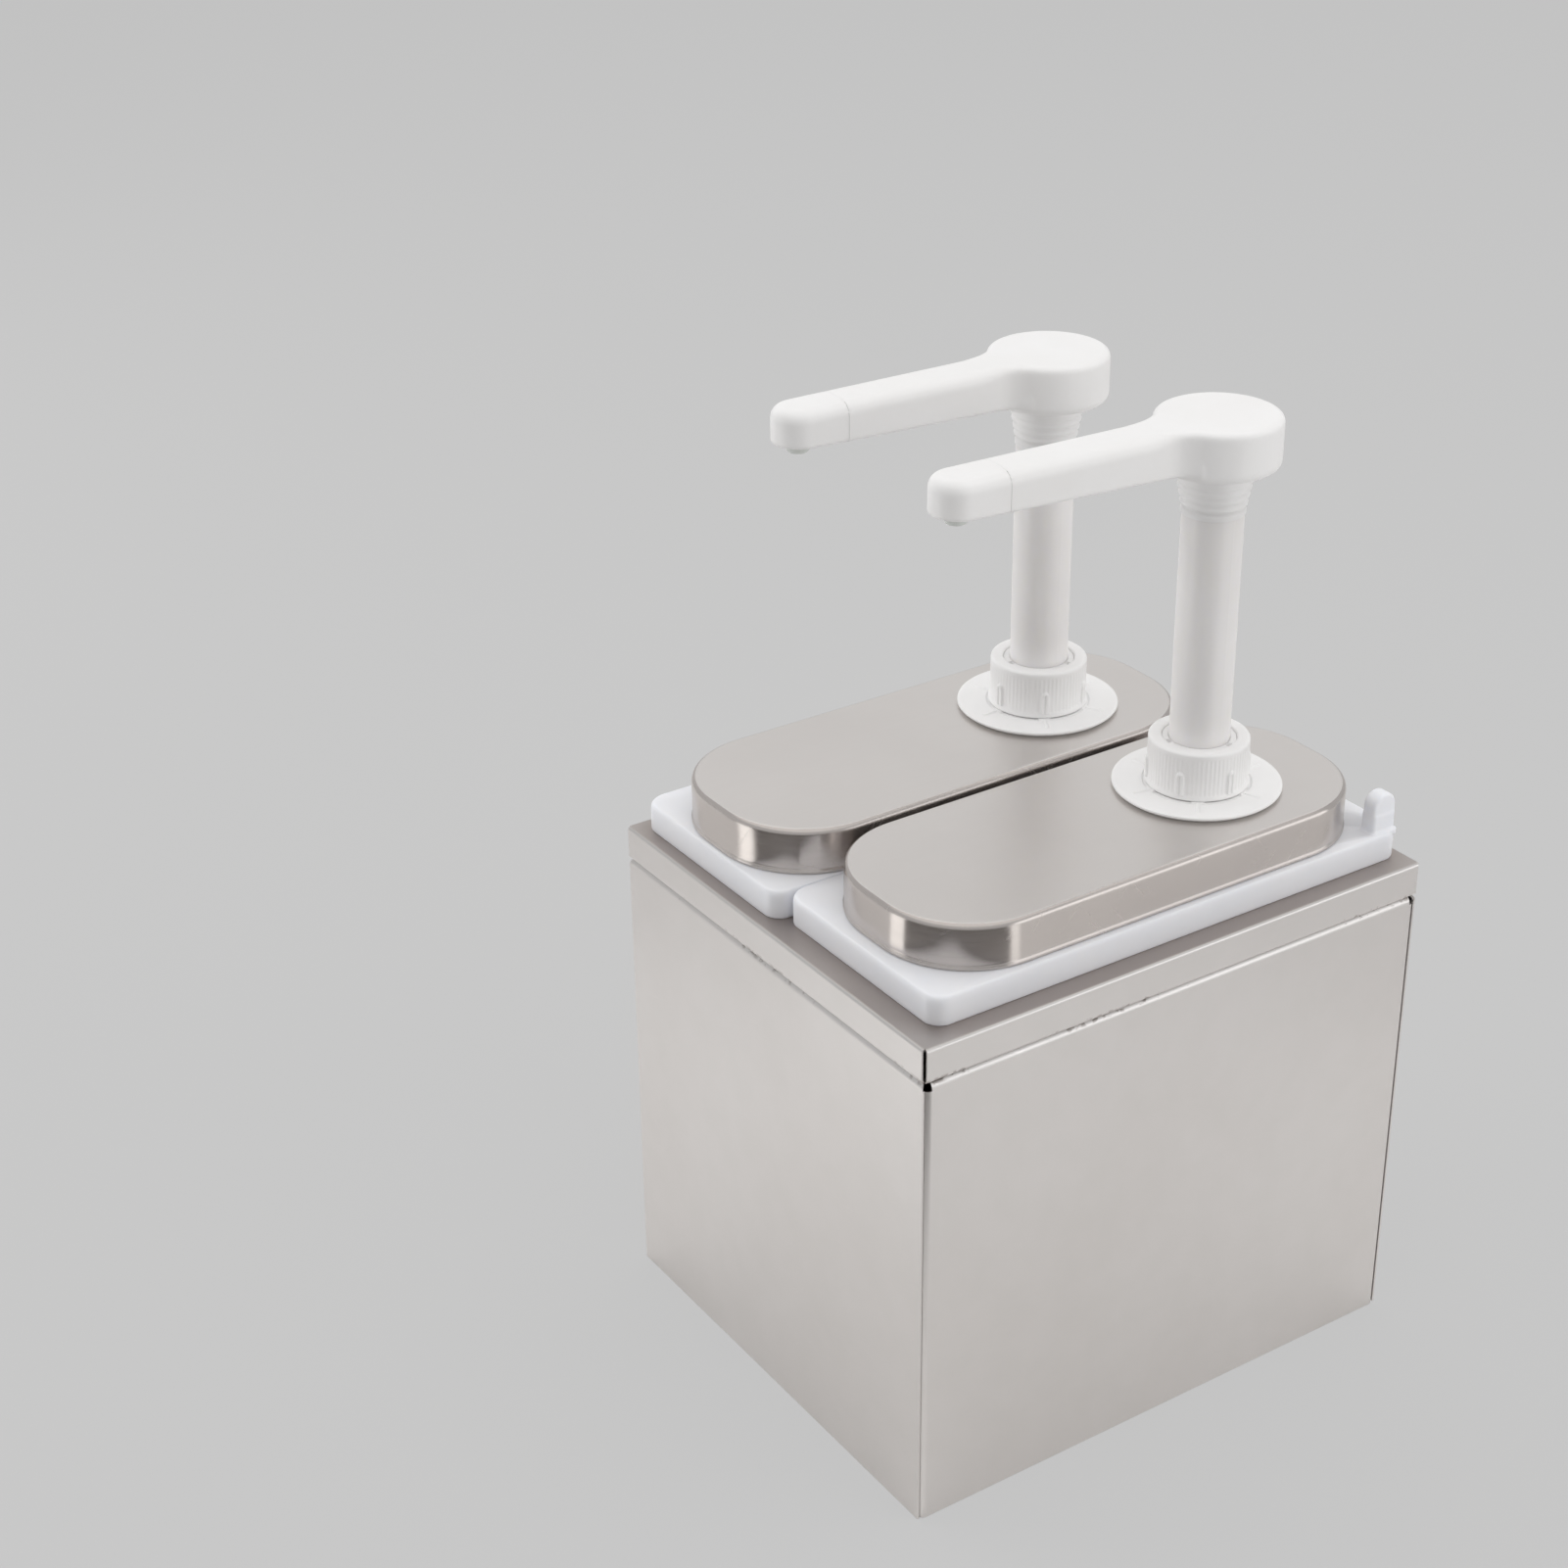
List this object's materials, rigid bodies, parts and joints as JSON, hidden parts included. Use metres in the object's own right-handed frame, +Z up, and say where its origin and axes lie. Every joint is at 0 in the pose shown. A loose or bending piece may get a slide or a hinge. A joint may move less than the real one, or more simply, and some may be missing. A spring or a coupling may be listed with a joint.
{
  "type": "sauce pump dispenser",
  "caption": "Countertop sauce dispenser: folded steel cabinet, lift-out jars with pressed steel lids, and hand pumps with swivelling spouts.",
  "frame": {"origin": "centre of the cabinet's base, on the surface that it stands on", "axes": "+Z up, -Y towards the front (the side the spouts point to), +X to the right seen from the front"},
  "size_m": [0.2, 0.235, 0.3885],
  "materials": {
    "cabinet_steel": "matt rolled stainless sheet",
    "lid_steel": "satin top, polished sides",
    "jar_plastic": "milky translucent polyethylene",
    "white_plastic": "moulded white polypropylene",
    "natural_plastic": "uncoloured polypropylene",
    "seal_rubber": "grey silicone",
    "spring_steel": "bright stainless wire and balls"
  },
  "bodies": {
    "cabinet": {"base_tray": "cabinet_steel", "front_panel": "cabinet_steel", "rear_panel": "cabinet_steel", "left_side_panel": "cabinet_steel", "right_side_panel": "cabinet_steel", "top_frame": "cabinet_steel"},
    "right_jar_unit": {"right_jar": "jar_plastic"},
    "right_lid_unit": {"right_lid": "lid_steel", "right_pump_foot": "white_plastic", "right_sealing_ring": "seal_rubber", "right_back_nut": "white_plastic"},
    "right_pump_unit": {"right_guide_bush": "white_plastic", "right_chamber": "natural_plastic", "right_spring": "spring_steel", "right_spring_seat": "white_plastic", "right_dip_tube": "natural_plastic"},
    "right_cap_unit": {"right_screw_cap": "white_plastic"},
    "right_inlet_valve": {"right_inlet_ball": "spring_steel"},
    "right_piston_unit": {"right_piston": "white_plastic", "right_piston_seal": "seal_rubber", "right_ball_stop": "white_plastic"},
    "right_outlet_valve": {"right_outlet_ball": "spring_steel"},
    "right_spout_unit": {"right_stem": "natural_plastic", "right_neck_sleeve": "white_plastic", "right_spout_head": "white_plastic", "right_end_cap": "white_plastic", "right_nozzle": "natural_plastic"},
    "left_jar_unit": {"left_jar": "jar_plastic"},
    "left_lid_unit": {"left_lid": "lid_steel", "left_pump_foot": "white_plastic", "left_sealing_ring": "seal_rubber", "left_back_nut": "white_plastic"},
    "left_pump_unit": {"left_guide_bush": "white_plastic", "left_chamber": "natural_plastic", "left_spring": "spring_steel", "left_spring_seat": "white_plastic", "left_dip_tube": "natural_plastic"},
    "left_cap_unit": {"left_screw_cap": "white_plastic"},
    "left_inlet_valve": {"left_inlet_ball": "spring_steel"},
    "left_piston_unit": {"left_piston": "white_plastic", "left_piston_seal": "seal_rubber", "left_ball_stop": "white_plastic"},
    "left_outlet_valve": {"left_outlet_ball": "spring_steel"},
    "left_spout_unit": {"left_stem": "natural_plastic", "left_neck_sleeve": "white_plastic", "left_spout_head": "white_plastic", "left_end_cap": "white_plastic", "left_nozzle": "natural_plastic"}
  },
  "joints": [
    {"name": "right_jar_lift", "type": "slide", "parent": "cabinet", "child": "right_jar_unit", "axis": [0, 0, 1], "range_m": [0, 0.19]},
    {"name": "right_lid_lift", "type": "slide", "parent": "right_jar_unit", "child": "right_lid_unit", "axis": [0, 0, 1], "range_m": [0, 0.21]},
    {"name": "right_cap_rise", "type": "slide", "parent": "right_lid_unit", "child": "right_pump_unit", "axis": [0, 0, 1], "range_m": [0, 0.00634]},
    {"name": "right_cap_turn", "type": "hinge", "parent": "right_pump_unit", "child": "right_cap_unit", "pos_m": [0.045, 0.05, 0.25], "axis": [0, 0, 1], "range_deg": [0, 600]},
    {"name": "right_inlet_ball_lift", "type": "slide", "parent": "right_pump_unit", "child": "right_inlet_valve", "axis": [0, 0, 1], "range_m": [0, 0.003]},
    {"name": "right_press", "type": "slide", "parent": "right_pump_unit", "child": "right_piston_unit", "axis": [0, 0, -1], "range_m": [0, 0.07], "stiffness_N_per_m": 200, "springref_m": -0.03, "deforming": ["right_spring"]},
    {"name": "right_outlet_ball_lift", "type": "slide", "parent": "right_piston_unit", "child": "right_outlet_valve", "axis": [0, 0, 1], "range_m": [0, 0.003]},
    {"name": "right_spout_swivel", "type": "hinge", "parent": "right_piston_unit", "child": "right_spout_unit", "pos_m": [0.045, 0.05, 0.36], "axis": [0, 0, 1], "range_deg": [-30, 235]},
    {"name": "left_jar_lift", "type": "slide", "parent": "cabinet", "child": "left_jar_unit", "axis": [0, 0, 1], "range_m": [0, 0.19]},
    {"name": "left_lid_lift", "type": "slide", "parent": "left_jar_unit", "child": "left_lid_unit", "axis": [0, 0, 1], "range_m": [0, 0.21]},
    {"name": "left_cap_rise", "type": "slide", "parent": "left_lid_unit", "child": "left_pump_unit", "axis": [0, 0, 1], "range_m": [0, 0.00634]},
    {"name": "left_cap_turn", "type": "hinge", "parent": "left_pump_unit", "child": "left_cap_unit", "pos_m": [-0.0458, 0.0445, 0.25], "axis": [0, 0, 1], "range_deg": [0, 600]},
    {"name": "left_inlet_ball_lift", "type": "slide", "parent": "left_pump_unit", "child": "left_inlet_valve", "axis": [0, 0, 1], "range_m": [0, 0.003]},
    {"name": "left_press", "type": "slide", "parent": "left_pump_unit", "child": "left_piston_unit", "axis": [0, 0, -1], "range_m": [0, 0.07], "stiffness_N_per_m": 200, "springref_m": -0.03, "deforming": ["left_spring"]},
    {"name": "left_outlet_ball_lift", "type": "slide", "parent": "left_piston_unit", "child": "left_outlet_valve", "axis": [0, 0, 1], "range_m": [0, 0.003]},
    {"name": "left_spout_swivel", "type": "hinge", "parent": "left_piston_unit", "child": "left_spout_unit", "pos_m": [-0.0458, 0.0445, 0.36], "axis": [0, 0, 1], "range_deg": [-235, 30]}
  ],
  "couplings": [
    {"joint": "right_cap_turn", "follows": "right_cap_rise", "rad_per_m": 1485.4},
    {"joint": "left_cap_turn", "follows": "left_cap_rise", "rad_per_m": 1485.4}
  ]
}
